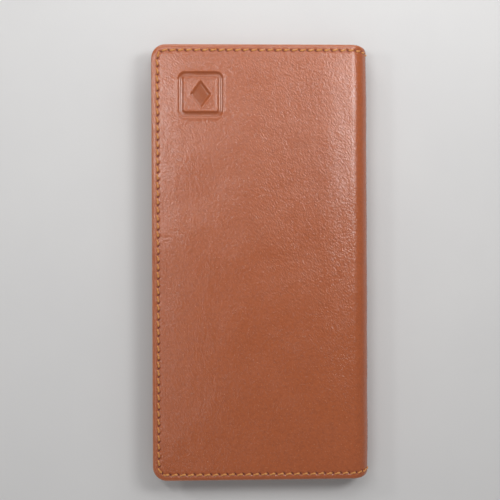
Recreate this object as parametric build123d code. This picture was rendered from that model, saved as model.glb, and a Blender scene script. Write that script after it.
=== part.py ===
from build123d import *
import os
from math import atan2, cos, degrees, pi, radians, sin, sqrt

# A long bifold wallet, shut and lying on its back cover. Millimetres, +Z up, +X towards the spine,
# +Y towards the head. The origin is the middle of the back cover's outer face.
# Each half is modelled as the back half, where a depth below the outer face is a height above the
# table. The front half is the same stack of layers, mirrored about the middle of the thickness.

# Overall size, shut
WIDTH = 95.4
LENGTH = 190.0
THICKNESS = 16.0
CORNER_R = 6.2
SPINE_DIP = 2.2  # how far the head and tail edges draw in at the middle of the spine

OPEN_X = -WIDTH / 2
SPINE_R = THICKNESS / 2
SPINE_X = WIDTH / 2 - SPINE_R  # axis of the half-round spine
HEAD_Y = LENGTH / 2

# Layers of the cover, as thicknesses from the outer face inwards
SKIN = 1.1
BOARD = 0.7
LINING = 0.2
HEM = 0.7
HEM_WIDTH = 9.0
EDGE_R = 1.2
GAP = 0.05  # air between layers that lie on each other
HEM_TOP = SKIN + BOARD + LINING
RIM = HEM_TOP + HEM

# The spine is cut free of both halves along the fold lines, at these angles about its axis
FOLD_ANGLE = 45.0
FOLD_CLEARANCE = 3.0

# Edge seam
SEAM_INSET = 2.6
STITCH_PITCH = 3.56
STITCH_LENGTH = 2.3
STITCH_R = 0.3
STITCH_SLANT = 9.0
STITCH_DEPTH = 0.42  # from the outer face to the middle of the thread
GROOVE_WIDTH = 1.6
GROOVE_DEPTH = 0.85

# Panels inside each half
PANEL_INSET = 1.6
PANEL = 0.75
PANEL_LOW = RIM + GAP
PANEL_TOP = PANEL_LOW + PANEL
BILL_MOUTH_X = 36.0

# Card rows on the front half: mouths towards the spine, each row lower than the one before
ROWS = 4
FIRST_MOUTH_X = 32.0
ROW_STEP = 10.0
ROW_OVERLAP = 2.0
ROW_LEATHER = 0.6
POCKET_FABRIC = 0.2
POCKET_DEPTH = 50.0
COLUMN_END_Y = 90.0

# Zipped coin pocket on the back half
POCKET_RIGHT_X = 38.0
POCKET_BRIM = 2.5
POCKET_LEATHER = 0.65
POCKET_TOP = 6.1
POCKET_SLOPE = 3.0
POCKET_CORNER_R = 7.0
POCKET_LOW = PANEL_TOP + GAP

ZIP_X = 25.0
ZIP_SLOT = 9.0
ZIP_END_Y = 78.0
TEETH_END_Y = 74.0
TOOTH_PITCH = 2.0
TOOTH = (1.7, 1.1, 1.3)
TOOTH_INNER = 0.6  # from the middle of the chain to a tooth
CHAIN_DEPTH = 5.15
TAPE = 0.3
TAPE_WIDTH = 11.0

SLIDER_Y = 66.0
SLIDER_LENGTH = 9.0
SLIDER_WIDTH = 7.4
SLIDER_TOP = 6.5
CHANNEL_LOW = 4.3
CHANNEL_TOP = 6.0
CHANNEL_WIDTH = 5.2
PULL_BAR_DEPTH = 7.15
PULL_THICKNESS = 0.7
PULL_LENGTH = 15.0
PULL_WIDTH = 5.6


def write(name, *solids):
    """Write one sub-part, which may be a group of alike pieces."""
    pieces = [solid for part in solids for solid in part.solids()]
    export_step(pieces[0] if len(pieces) == 1 else Compound(children=pieces), f"parts/{name}.step")


def to_front(part):
    """The same piece of the front half."""
    return mirror(part, Plane.XY.offset(THICKNESS / 2))


def block(x, y, depth):
    """A box between two values on each axis."""
    size = (x[1] - x[0], y[1] - y[0], depth[1] - depth[0])
    middle = ((x[0] + x[1]) / 2, (y[0] + y[1]) / 2, (depth[0] + depth[1]) / 2)
    return Pos(*middle) * Box(*size)


# Layers: flat ones over a half, and rolled ones round the spine


def half_outline(inset, right=SPINE_X, corner=None):
    """A half seen from above: square towards the spine and rounded at the open side."""
    left = OPEN_X + inset
    face = Pos((left + right) / 2, 0) * Rectangle(right - left, LENGTH - 2 * inset)
    radius = corner or max(CORNER_R - inset, 1.0)
    return fillet(face.vertices().sort_by(Axis.X)[:2], radius)


def flat(low, top, inset, right=SPINE_X, corner=None):
    """A flat layer of a half between two depths."""
    return Pos(0, 0, low) * extrude(half_outline(inset, right, corner), top - low)


def spine_outline(inset):
    """The rolled part seen from above, whose ends draw in towards the middle of the spine."""
    far_x, shoulder_y = SPINE_X + SPINE_R, HEAD_Y - SPINE_DIP - inset
    head = Curve() + [
        Line((SPINE_X, 0), (SPINE_X, HEAD_Y - inset)),
        EllipticalCenterArc((SPINE_X, shoulder_y), SPINE_R, SPINE_DIP, 0, arc_size=90),
        Line((far_x, shoulder_y), (far_x + 1, shoulder_y)),
        Line((far_x + 1, shoulder_y), (far_x + 1, 0)),
    ]
    return make_face(head + mirror(head, Plane.XZ))


def rolled(low, top, inset, start, end):
    """A rolled layer between two depths and two angles about the axis of the spine."""
    rays = [2 * SPINE_R * Vector(cos(radians(a)), sin(radians(a))) for a in (start, (start + end) / 2, end)]
    wedge = make_face(Polyline((0, 0), *rays, close=True))
    section = (Circle(SPINE_R - low) - Circle(SPINE_R - top)) & wedge
    across = Plane(origin=(SPINE_X, 0, SPINE_R), x_dir=(1, 0, 0), z_dir=(0, -1, 0))
    cut = Pos(0, 0, -1) * extrude(spine_outline(inset), THICKNESS + 2)
    return extrude(across * section, HEAD_Y, both=True) & cut


def half_layer(low, top, inset):
    """A layer over a half and on round the spine as far as the fold line."""
    lip = rolled(low, top, inset, -90, -FOLD_ANGLE - FOLD_CLEARANCE)
    return flat(low, top, inset) + lip


def spine_layer(low, top, inset):
    """A layer of the spine between the two fold lines."""
    reach = FOLD_ANGLE - FOLD_CLEARANCE
    return rolled(low, top, inset, -reach, reach)


def turned_skin(layer, rounded):
    """Leather whose free edges are turned over the board and lining, grooved for the seam."""
    skin = rounded(layer(0, RIM, 0))
    skin -= layer(SKIN, HEM_TOP, SKIN)
    skin -= layer(HEM_TOP - GAP, RIM + 1, HEM_WIDTH)
    wide, narrow = SEAM_INSET - GROOVE_WIDTH / 2, SEAM_INSET + GROOVE_WIDTH / 2
    return skin - (layer(-1, GROOVE_DEPTH, wide) - layer(-1.5, GROOVE_DEPTH + 0.5, narrow))


def round_flat_edges(part):
    """Round the turned edges of a half along its open side, head and tail."""
    at_edge = [
        e
        for e in part.edges()
        if e.center().X < SPINE_X - 1
        and min(abs(e.center().Z), abs(e.center().Z - RIM)) < 0.01
    ]
    return fillet(at_edge, EDGE_R)


# Edge seam


def seam_path():
    """Half of the edge seam on the unrolled leather: from the middle of the spine to the open side."""
    top, left = HEAD_Y - SEAM_INSET, OPEN_X + SEAM_INSET
    radius = CORNER_R - SEAM_INSET
    turns = [pi / 2 * (1 - i / 4) for i in range(5)]
    across = [sin(t) * (1 - STITCH_DEPTH / SPINE_R) for t in turns]
    over_spine = [
        (SPINE_X + SPINE_R * t, top - SPINE_DIP * (1 - sqrt(1 - a * a))) for t, a in zip(turns, across)
    ]
    return Wire(
        [
            Spline(*over_spine),
            Line((SPINE_X, top), (left + radius, top)),
            RadiusArc((left + radius, top), (left, top - radius), -radius),
            Line((left, top - radius), (left, 0)),
        ]
    )


def on_leather(u, v, depth, heading):
    """Where a point of the unrolled leather lies on the back half, in the direction of heading."""
    turn = max(u - SPINE_X, 0) / SPINE_R
    if turn == 0:
        return Pos(u, v, depth) * Rot(0, 0, heading)
    return Pos(SPINE_X, v, SPINE_R) * Rot(0, -degrees(turn), 0) * Pos(0, 0, depth - SPINE_R) * Rot(0, 0, heading)


def stitch():
    """One stitch of thread, lying along X."""
    return Rot(0, 90, 0) * Cylinder(STITCH_R, STITCH_LENGTH)


def edge_stitches(first_u, last_u):
    """The stitches of the edge seam that lie between two distances across the unrolled leather."""
    path = seam_path()
    count = round(path.length / STITCH_PITCH)
    stitches = []
    for i in range(count):
        share = (i + 0.5) / count
        point, along = path.position_at(share), path.tangent_at(share)
        if not first_u < point.X < last_u:
            continue
        for side in (1, -1):
            heading = degrees(atan2(side * along.Y, along.X)) + STITCH_SLANT
            place = on_leather(point.X, side * point.Y, STITCH_DEPTH, heading)
            stitches.append(place * stitch())
    return stitches


# Pieces that both halves have


def cover():
    """Outer leather of a half, turned over at its edges."""
    return turned_skin(half_layer, round_flat_edges)


def stiffener():
    """Board that keeps a half flat, wrapped by the turned edge."""
    return flat(SKIN + GAP, SKIN + BOARD - GAP, SKIN + 0.3, right=SPINE_X - 1.5)


def lining():
    """Fabric at the back of the bill compartment, held under the turned edge."""
    return half_layer(SKIN + BOARD, HEM_TOP - GAP, SKIN + 0.3)


def bill_panel():
    """Leather panel that makes the bill compartment, open towards the spine."""
    return flat(PANEL_LOW, PANEL_TOP, PANEL_INSET, right=BILL_MOUTH_X)


def cover_stitches():
    """Edge seam of a half, up to the fold line."""
    fold_u = SPINE_X + SPINE_R * radians(90 - FOLD_ANGLE - FOLD_CLEARANCE)
    return edge_stitches(OPEN_X, fold_u - STITCH_LENGTH / 2)


# Spine


def spine_leather():
    """Outer leather between the two fold lines, turned over at head and tail."""
    return turned_skin(spine_layer, lambda part: part)


def spine_reinforcement():
    """Strip that keeps the spine round."""
    return spine_layer(SKIN + GAP, SKIN + BOARD - GAP, SKIN + 0.3)


def spine_lining():
    """Fabric over the inside of the spine."""
    return spine_layer(SKIN + BOARD, HEM_TOP - GAP, SKIN + 0.3)


def spine_stitches():
    """The edge seam where it runs over the spine, at head and tail."""
    fold_u = SPINE_X + SPINE_R * radians(90 - FOLD_ANGLE + FOLD_CLEARANCE)
    lower = edge_stitches(fold_u + STITCH_LENGTH / 2, SPINE_X + SPINE_R * pi)
    return lower + [to_front(s) for s in lower]


# Card rows of the front half


def strip(points, thickness):
    """A sheet of the given cross-section, as (x, depth) of its outer side, as long as the wallet inside."""
    low = [(x, 0, depth) for x, depth in points]
    high = [(x, 0, depth + thickness) for x, depth in reversed(points)]
    section = make_face(Polyline(*low, *high, close=True))
    return extrude(section, HEAD_Y, dir=(0, 1, 0), both=True)


def mouth_x(row):
    """Where a card row opens."""
    return FIRST_MOUTH_X - ROW_STEP * row


def rest_depth(row):
    """Depth at which the leather of a row lies on the pocket linings under it."""
    return PANEL_TOP + GAP + (POCKET_FABRIC + GAP) * (row + 1)


def mouth_depth(row):
    """Depth of a row at its mouth, where it lies over the foot of the row before."""
    if row == 0:
        return rest_depth(0)
    return rest_depth(row - 1) + ROW_LEATHER + POCKET_FABRIC + 2 * GAP


def row_section(row):
    """Cross-section of a row's leather, from its mouth to its foot."""
    x, high, low = mouth_x(row), mouth_depth(row), rest_depth(row)
    if row < ROWS - 1:
        foot_x = mouth_x(row + 1) - ROW_OVERLAP
        return [(x, high), (x - ROW_OVERLAP - 0.5, high), (x - ROW_STEP + 1, low), (foot_x, low)]
    edge_x, edge_depth = OPEN_X + PANEL_INSET, PANEL_TOP + GAP
    low -= POCKET_FABRIC + GAP
    linings_end_x = mouth_x(row - 1) - POCKET_DEPTH
    return [
        (x, high),
        (x - ROW_OVERLAP - 0.5, high),
        (x - ROW_STEP, low),
        (linings_end_x, low),
        (linings_end_x - 4, edge_depth),
        (edge_x, edge_depth),
    ]


def card_row(row):
    """Leather of one card row."""
    return strip(row_section(row), ROW_LEATHER) & flat(0, THICKNESS, PANEL_INSET)


def pocket_lining(row):
    """Fabric behind a row, which makes the pocket deep enough for a card."""
    x, flat_depth = mouth_x(row), rest_depth(row) - POCKET_FABRIC - GAP
    high = mouth_depth(row) - POCKET_FABRIC - GAP
    down_x = x - ROW_OVERLAP - 0.5
    points = [(x - 0.5, high), (down_x, high), (down_x - 2, flat_depth), (x - POCKET_DEPTH, flat_depth)]
    if row == 0:
        points = [points[0], points[-1]]
    return strip(points, POCKET_FABRIC) & block((OPEN_X, SPINE_X), (-COLUMN_END_Y, COLUMN_END_Y), (0, THICKNESS))


def centre_stitches():
    """Seam down the middle that divides every row into two slots."""
    stitches = []
    count = int((FIRST_MOUTH_X - OPEN_X - SEAM_INSET) / STITCH_PITCH)
    for i in range(count):
        x = FIRST_MOUTH_X - STITCH_PITCH * (i + 0.5)
        if min(abs(x - mouth_x(row)) for row in range(ROWS)) < STITCH_LENGTH / 2 + STITCH_R:
            continue
        row = max(row for row in range(ROWS) if mouth_x(row) > x)
        section = row_section(row)
        (x0, depth0), (x1, depth1) = next(
            pair for pair in zip(section, section[1:]) if pair[0][0] >= x > pair[1][0]
        )
        slope = (depth1 - depth0) / (x1 - x0)
        depth = depth0 + slope * (x - x0) + ROW_LEATHER + STITCH_R
        tilt = Rot(0, -degrees(atan2(slope, 1)), 0)
        stitches.append(Pos(x, 0, depth) * tilt * Box(STITCH_LENGTH, 2 * STITCH_R, STITCH_R))
    return stitches


# Coin pocket of the back half


def raised(low, top, brim, height):
    """A plateau with sloping sides that stands inside the brim of the coin pocket."""
    taper = degrees(atan2(POCKET_SLOPE, POCKET_TOP - POCKET_LOW))
    base = half_outline(PANEL_INSET + brim, POCKET_RIGHT_X - brim, POCKET_CORNER_R)
    whole = Pos(0, 0, low) * extrude(base, height, taper=taper)
    return whole & block((OPEN_X, SPINE_X), (-HEAD_Y, HEAD_Y), (low, top))


def zip_slot(width, end_y, low, top):
    """The long opening over the zip, with round ends."""
    return Pos(ZIP_X, 0, low) * extrude(SlotOverall(2 * end_y, width, rotation=90), top - low)


def coin_pocket_front():
    """Leather front of the coin pocket: a brim sewn to the bill panel and a raised middle with the zip."""
    brim = flat(POCKET_LOW, POCKET_LOW + POCKET_LEATHER, PANEL_INSET, right=POCKET_RIGHT_X)
    height = POCKET_TOP - POCKET_LOW
    body = brim + raised(POCKET_LOW, POCKET_TOP, POCKET_BRIM, height)
    body -= raised(POCKET_LOW - GAP, POCKET_TOP - POCKET_LEATHER, POCKET_BRIM + 0.8, height)
    return body - zip_slot(ZIP_SLOT, ZIP_END_Y, POCKET_LOW, POCKET_TOP + 1)


def coin_pocket_bag():
    """Fabric bag inside the coin pocket, open at the zip."""
    top, height = POCKET_TOP - POCKET_LEATHER - GAP, POCKET_TOP - POCKET_LOW
    wall = POCKET_FABRIC - GAP
    bag = raised(POCKET_LOW, top, POCKET_BRIM + 0.9, height)
    bag -= raised(POCKET_LOW + wall, top - wall, POCKET_BRIM + 1.2, height)
    tape_left = ZIP_X - TOOTH_INNER - TOOTH[0] - TAPE_WIDTH
    return bag - block((tape_left - 1, SPINE_X), (-HEAD_Y, HEAD_Y), (POCKET_LOW + wall, POCKET_TOP))


def zip_tape(side):
    """Woven tape beside the teeth; side is -1 on the open side of the zip and 1 on the spine side."""
    inner = TOOTH_INNER + TOOTH[0] + GAP
    width = TAPE_WIDTH if side < 0 else 3.4
    ends = sorted((ZIP_X + side * inner, ZIP_X + side * (inner + width)))
    low, top = CHAIN_DEPTH - TAPE / 2, CHAIN_DEPTH + TAPE / 2
    return block(ends, (-ZIP_END_Y - 4, ZIP_END_Y + 4), (low, top))


def zip_teeth(side):
    """One row of teeth, half a pitch along from the other row."""
    x = ZIP_X + side * (TOOTH_INNER + TOOTH[0] / 2)
    shift = TOOTH_PITCH / 4 * side
    count = int(2 * TEETH_END_Y / TOOTH_PITCH)
    ys = [TOOTH_PITCH * (i - (count - 1) / 2) + shift for i in range(count)]
    return [Pos(x, y, CHAIN_DEPTH) * Box(*TOOTH) for y in ys]


def end_stops():
    """Two stops at the head end of the zip and one across its tail end."""
    stop_x = TOOTH_INNER + TOOTH[0] / 2
    head = [Pos(ZIP_X + s * stop_x, TEETH_END_Y + 2, CHAIN_DEPTH) * Box(TOOTH[0], 2.4, 1.5) for s in (1, -1)]
    tail = Pos(ZIP_X, -TEETH_END_Y - 2, CHAIN_DEPTH) * Box(2 * stop_x + TOOTH[0], 2.4, 1.5)
    return [*head, tail]


def seam_rows():
    """Stitches along both sides of the zip, on the face of the coin pocket."""
    count = int(2 * (ZIP_END_Y - 2) / STITCH_PITCH)
    xs = (ZIP_X - ZIP_SLOT / 2 - 1.4, ZIP_X + ZIP_SLOT / 2 + 1.4)
    ys = [STITCH_PITCH * (i - (count - 1) / 2) for i in range(count)]
    thread = Box(2 * STITCH_R, STITCH_LENGTH, STITCH_R)
    return [Pos(x, y, POCKET_TOP + STITCH_R) * thread for x in xs for y in ys]


def zip_slider():
    """Slider: two plates joined by a post between the teeth, with side flanges and a bail on top."""
    y0, y1 = SLIDER_Y - SLIDER_LENGTH / 2, SLIDER_Y + SLIDER_LENGTH / 2
    outline = Polyline(
        (ZIP_X - SLIDER_WIDTH / 2 + 0.7, y0),
        (ZIP_X + SLIDER_WIDTH / 2 - 0.7, y0),
        (ZIP_X + SLIDER_WIDTH / 2, y1 - 2.5),
        (ZIP_X + SLIDER_WIDTH / 2 - 1.2, y1),
        (ZIP_X - SLIDER_WIDTH / 2 + 1.2, y1),
        (ZIP_X - SLIDER_WIDTH / 2, y1 - 2.5),
        close=True,
    )
    face = make_face(outline)
    face = fillet(face.vertices(), 0.8)
    low = CHANNEL_LOW - 0.35
    body = Pos(0, 0, low) * extrude(face, SLIDER_TOP - low)
    x_in, x_out = CHANNEL_WIDTH / 2, SLIDER_WIDTH
    body -= block((ZIP_X - x_in, ZIP_X + x_in), (y0 - 1, y1 + 1), (CHANNEL_LOW, CHANNEL_TOP))
    tape_room = (CHAIN_DEPTH - 0.4, CHAIN_DEPTH + 0.4)
    body -= block((ZIP_X - x_out, ZIP_X + x_out), (y0 - 1, y1 + 1), tape_room)
    post = block((ZIP_X - 0.3, ZIP_X + 0.3), (y1 - 4, y1 - 1.6), (CHANNEL_LOW - 0.1, CHANNEL_TOP + 0.1))
    bail = block((ZIP_X - 0.6, ZIP_X + 0.6), (y0 + 1, y1 - 1.5), (SLIDER_TOP, 8.25))
    bail = fillet(bail.edges().filter_by(Axis.X).sort_by(Axis.Z)[-2:], 1.0)
    window = block((ZIP_X - 1, ZIP_X + 1), (y0 + 1.8, y1 - 2.3), (SLIDER_TOP, 7.75))
    return body + post + (bail - window)


def zip_pull():
    """Pull tab, hung on the bail by the bar at its head, lying flat towards the tail."""
    bar_y = SLIDER_Y - SLIDER_LENGTH / 2 + 2.5
    low, top = PULL_BAR_DEPTH - PULL_THICKNESS / 2, PULL_BAR_DEPTH + PULL_THICKNESS / 2
    tail_y = bar_y - PULL_LENGTH
    tab = block((ZIP_X - PULL_WIDTH / 2, ZIP_X + PULL_WIDTH / 2), (tail_y, bar_y), (low, top))
    tab = fillet(tab.edges().filter_by(Axis.Z).sort_by(Axis.Y)[:2], 2.4)
    eye = block((ZIP_X - 1.2, ZIP_X + 1.2), (bar_y - 4.5, bar_y + 1), (low - 1, top + 1))
    hole = Pos(ZIP_X, tail_y + 3.4, low - 1) * Cylinder(1.2, 4, align=(Align.CENTER, Align.CENTER, Align.MIN))
    bar = Pos(ZIP_X, bar_y, PULL_BAR_DEPTH) * Rot(0, 90, 0) * Cylinder(PULL_THICKNESS / 2, PULL_WIDTH)
    return tab - eye - hole + bar


def make_half(name, place):
    """Write the layers that both halves have."""
    write(f"{name}_cover", place(cover()))
    write(f"{name}_stiffener", place(stiffener()))
    write(f"{name}_lining", place(lining()))
    write(f"{name}_bill_panel", place(bill_panel()))
    write(f"{name}_edge_stitches", *[place(s) for s in cover_stitches()])


def make_coin_pocket():
    """Write the coin pocket and its zip."""
    write("coin_pocket_front", coin_pocket_front())
    write("coin_pocket_bag", coin_pocket_bag())
    write("coin_pocket_stitches", *seam_rows())
    write("zip_tape_open_side", zip_tape(-1))
    write("zip_tape_spine_side", zip_tape(1))
    write("zip_teeth_open_side", *zip_teeth(-1))
    write("zip_teeth_spine_side", *zip_teeth(1))
    write("zip_end_stops", *end_stops())
    write("zip_slider", zip_slider())
    write("zip_pull", zip_pull())


def make_card_rows():
    """Write the card rows of the front half."""
    for row in range(ROWS):
        write(f"card_row_{row + 1}", to_front(card_row(row)))
    for row in range(ROWS - 1):
        write(f"card_pocket_lining_{row + 1}", to_front(pocket_lining(row)))
    write("card_centre_stitches", *[to_front(s) for s in centre_stitches()])


def make_spine():
    """Write the layers of the spine."""
    write("spine_leather", spine_leather())
    write("spine_reinforcement", spine_reinforcement())
    write("spine_lining", spine_lining())
    write("spine_stitches", *spine_stitches())


os.makedirs("parts", exist_ok=True)
make_half("back", lambda part: part)
make_coin_pocket()
make_spine()
make_half("front", to_front)
make_card_rows()
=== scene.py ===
"""A long bifold wallet in tan leather, lying shut on a pale floor and seen from almost straight above."""

from math import cos, pi, radians, sin, sqrt, tan

import bpy
import numpy as np
from mathutils import Matrix, Vector


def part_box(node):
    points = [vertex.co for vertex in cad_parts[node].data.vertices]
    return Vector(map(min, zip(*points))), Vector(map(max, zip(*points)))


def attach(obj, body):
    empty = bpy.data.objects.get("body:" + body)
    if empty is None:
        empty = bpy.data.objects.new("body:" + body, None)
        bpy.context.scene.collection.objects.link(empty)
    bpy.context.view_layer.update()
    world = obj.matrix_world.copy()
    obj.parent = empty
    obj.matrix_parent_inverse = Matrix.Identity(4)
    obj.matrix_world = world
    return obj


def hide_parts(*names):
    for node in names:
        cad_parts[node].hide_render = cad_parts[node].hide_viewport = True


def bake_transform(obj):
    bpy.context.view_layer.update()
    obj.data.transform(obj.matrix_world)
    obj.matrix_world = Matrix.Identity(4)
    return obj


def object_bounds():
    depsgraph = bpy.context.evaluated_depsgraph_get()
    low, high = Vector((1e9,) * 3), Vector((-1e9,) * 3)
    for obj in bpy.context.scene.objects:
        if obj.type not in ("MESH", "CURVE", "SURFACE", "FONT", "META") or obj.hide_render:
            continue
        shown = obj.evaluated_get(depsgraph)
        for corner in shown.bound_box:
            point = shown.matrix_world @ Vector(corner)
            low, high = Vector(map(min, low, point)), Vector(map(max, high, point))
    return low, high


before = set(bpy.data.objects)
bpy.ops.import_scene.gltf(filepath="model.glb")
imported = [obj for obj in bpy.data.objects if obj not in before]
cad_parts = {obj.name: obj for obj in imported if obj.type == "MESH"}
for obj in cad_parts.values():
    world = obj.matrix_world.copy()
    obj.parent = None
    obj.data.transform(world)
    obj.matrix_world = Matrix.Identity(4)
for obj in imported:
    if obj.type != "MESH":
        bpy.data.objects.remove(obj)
cad_low, cad_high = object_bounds()

# Sizes, in millimetres: from the frame, where the CAD has them

MM = 0.001


def box_mm(node):
    """Lowest and highest corner of a CAD node."""
    low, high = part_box(node)
    return np.array(low) / MM, np.array(high) / MM


cover_low, cover_high = box_mm("back_cover")
TOP_Z = cad_high.z / MM
SPINE_R = TOP_Z / 2
SPINE_X = cad_high.x / MM - SPINE_R
OPEN_X = cover_low[0]
HEAD_Y = cover_high[1]
MID_U = SPINE_X + SPINE_R * pi / 2
RIM = 2.7  # thickness of a cover's turned edge
CORNER_R = 6.2
HEM_WIDTH = 9
SPINE_DIP = 1.6  # how far head and tail are drawn in at the middle of the spine
DIP_START = 40  # the drawing in begins this far from the middle of the length

# Edge seam, measured along the row of stitches from the middle of the spine at the head

SEAM_INSET = 2.6
SEAM_R = CORNER_R - SEAM_INSET
HEAD_RUN = MID_U - (OPEN_X + CORNER_R)
CORNER_RUN = SEAM_R * pi / 2
SIDE_RUN = HEAD_Y - CORNER_R
HALF_SEAM = HEAD_RUN + CORNER_RUN + SIDE_RUN
WANTED_PITCH = 3.56
STITCHES = round(HALF_SEAM / WANTED_PITCH)
PITCH = HALF_SEAM / STITCHES
STITCH_SLANT = radians(12)
THREAD_R = 0.47
GROOVE_WIDTH = 0.62
GROOVE_DEPTH = 0.1
HOLE_DEPTH = 0.38
HOLE_LENGTH = 0.55
HOLE_SHIFT = 0.25
HOLE_SLANT = 0.75


def smooth(x):
    """0 below 0, 1 above 1, and a smooth step between."""
    x = np.clip(x, 0, 1)
    return x * x * (3 - 2 * x)


def bell(x, width):
    """1 at 0, falling smoothly to both sides."""
    return np.exp(-((x / width) ** 2))


def lines(*marks, end):
    """Grid lines up to end from (value, step) pairs: from a value to the next they are about step apart."""
    values = [value for value, _ in marks] + [end]
    found = []
    for (_, step), a, b in zip(marks, values, values[1:]):
        found += list(np.linspace(a, b, max(1, round(abs(b - a) / step)) + 1)[:-1])
    return np.array(found + [end])


def mirrored_lines(*marks):
    """Grid lines on both sides of 0 from (distance, step) pairs, the outermost first."""
    below = [(-distance, step) for distance, step in marks]
    above = [(distance, step) for (distance, _), (_, step) in zip(marks[::-1], marks[-2::-1])]
    return lines(*below, *above, end=marks[0][0])


def ripple(u, v, size, seed):
    """Smooth unevenness of about -1 to 1 with waves of about the given size."""
    waves = 8
    total = np.zeros(np.broadcast(u, v).shape)
    draws = np.random.default_rng(seed).uniform((0, 0, 0.7), (pi, 2 * pi, 1.5), (waves, 3))
    for angle, phase, stretch in draws:
        total += np.cos((u * cos(angle) + v * sin(angle)) * 2 * pi / (size * stretch) + phase)
    return total / sqrt(waves)


# The unrolled leather: u runs from a half's open side to the middle of the spine, v along the spine


def edge_point(s, inset):
    """(u, v) at station s of the line that lies inset from the edge of a half."""
    tail = s > HALF_SEAM
    s = np.where(tail, 2 * HALF_SEAM - s, s)
    radius = max(CORNER_R - inset, 1)
    centre_u, centre_v = OPEN_X + inset + radius, HEAD_Y - inset - radius
    turn = np.clip((s - HEAD_RUN) / CORNER_RUN, 0, 1) * pi / 2
    share = np.clip((s - HEAD_RUN - CORNER_RUN) / SIDE_RUN, 0, 1)
    on_head = MID_U + (centre_u - MID_U) * np.clip(s / HEAD_RUN, 0, 1)
    u = np.where(s < HEAD_RUN, on_head, centre_u - radius * np.sin(turn))
    v = (centre_v + radius * np.cos(turn)) * (1 - share)
    v = np.where(share > 0, centre_v * (1 - share), v)
    return u, np.where(tail, -v, v)


def dip(u):
    """How far head and tail are drawn in where the leather goes over the spine."""
    soft = 0.35
    cosine = np.cos(np.clip((u - SPINE_X) / SPINE_R, 0, pi / 2))
    return SPINE_DIP * (1 - (np.sqrt(cosine**2 + soft**2) - soft) / (sqrt(1 + soft**2) - soft))


def wrap(u, v, depth, front):
    """Where a point of the unrolled leather lies on the shut wallet."""
    u, v, depth = np.broadcast_arrays(u, v, depth)
    turn = np.maximum(u - SPINE_X, 0) / SPINE_R
    reach = SPINE_R - depth
    x = np.where(turn > 0, SPINE_X + reach * np.sin(turn), u)
    y = v - np.sign(v) * dip(u) * smooth((np.abs(v) - DIP_START) / (HEAD_Y - DIP_START))
    z = SPINE_R - reach * np.cos(turn)
    return np.stack([x, y, 2 * SPINE_R - z if front else z], -1)


def hide_u(u, front):
    """u on the whole hide, which runs from the front's open side over the spine to the back's."""
    return u if front else 2 * MID_U - u


# Meshes


def new_object(name, points, faces, uv=None, masks=None):
    """A smooth mesh object from points in mm, with its own uv and vertex masks."""
    mesh = bpy.data.meshes.new(name)
    mesh.from_pydata((np.asarray(points).reshape(-1, 3) * MM).tolist(), [], faces)
    mesh.shade_smooth()
    if uv is not None:
        corner = np.zeros(len(mesh.loops), int)
        mesh.loops.foreach_get("vertex_index", corner)
        layer = mesh.uv_layers.new(name="grain")
        layer.data.foreach_set("uv", np.asarray(uv).reshape(-1, 2)[corner].astype(np.float32).ravel())
    for key, values in (masks or {}).items():
        attribute = mesh.attributes.new(key, "FLOAT", "POINT")
        attribute.data.foreach_set("value", np.asarray(values).astype(np.float32).ravel())
    obj = bpy.data.objects.new(name, mesh)
    bpy.context.scene.collection.objects.link(obj)
    return obj


def grid_faces(rows, columns, first=0, close=False):
    """Quads of a rows by columns grid of vertices; close joins the last column to the first."""
    index = first + np.arange(rows * columns).reshape(rows, columns)
    if close:
        index = np.hstack([index, index[:, :1]])
    quads = np.stack([index[:-1, :-1], index[:-1, 1:], index[1:, 1:], index[1:, :-1]], -1)
    return quads.reshape(-1, 4).tolist()


# Relief of the outer leather

MOTIF_CENTRE = (OPEN_X + 21.4, HEAD_Y - 22)
MOTIF_HALF = 9.6
MOTIF_BAND = 1.9
MOTIF_DEPTH = 0.55


def motif_press(u, v):
    """How far the motif, a diamond in a rounded square, is pressed in: 0 to 1, and below 0 on its lip."""
    x, y = np.abs(u - MOTIF_CENTRE[0]), np.abs(v - MOTIF_CENTRE[1])
    corner, wall = 3.0, 0.6
    steep, shallow, reach = 1.18, 0.86, 4.9
    lip_height, lip_out, lip_width = 0.22, 0.65, 0.42
    px, py = x - (MOTIF_HALF - corner), y - (MOTIF_HALF - corner)
    square = np.hypot(np.maximum(px, 0), np.maximum(py, 0)) + np.minimum(np.maximum(px, py), 0) - corner
    band = np.abs(square + MOTIF_BAND / 2) - MOTIF_BAND / 2
    diamond = (x * steep + y * shallow - reach) / sqrt(steep**2 + shallow**2)
    near = np.minimum(band, diamond)
    return smooth(0.5 - near / (2 * wall)) - lip_height * bell(near - lip_out, lip_width)


def seam_relief(s, inset):
    """(groove, hole) masks of the edge seam at station s and distance inset from the edge."""
    across = inset - SEAM_INSET + 0 * s
    along = (s + HOLE_SLANT * across) % PITCH
    along = np.minimum(along, PITCH - along)
    return bell(across, GROOVE_WIDTH), bell(along, HOLE_LENGTH) * bell(across - HOLE_SHIFT, GROOVE_WIDTH)


def ring_profile():
    """(inset, depth, side) of rings from the hem's end over the rim to the face, close at the seam.

    side is -1 on the hem and 1 on the face, and goes from one to the other round the rim.
    """
    half, turns = RIM / 2, 12
    hem_end = [(HEM_WIDTH, RIM - 0.7), (HEM_WIDTH + 0.05, RIM - 0.35), (HEM_WIDTH - 0.15, RIM - 0.06)]
    on_hem = lines((HEM_WIDTH - 0.5, 1.5), (5.5, 1.1), (4.4, 0.6), (3.8, 0.3), end=1.7)
    on_face = lines((1.6, 0.25), (3.35, 0.3), (3.65, 0.35), (4, 0.6), end=CORNER_R - 1)
    rings = [(inset, depth, -1) for inset, depth in hem_end]
    rings += [(inset, RIM, -1) for inset in on_hem]
    for i in range(turns + 1):
        turn = pi / 2 - pi * i / turns
        rings.append((half * (1 - cos(turn)), half * (1 + sin(turn)), -sin(turn)))
    return rings + [(inset, 0, 1) for inset in on_face]


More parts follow.
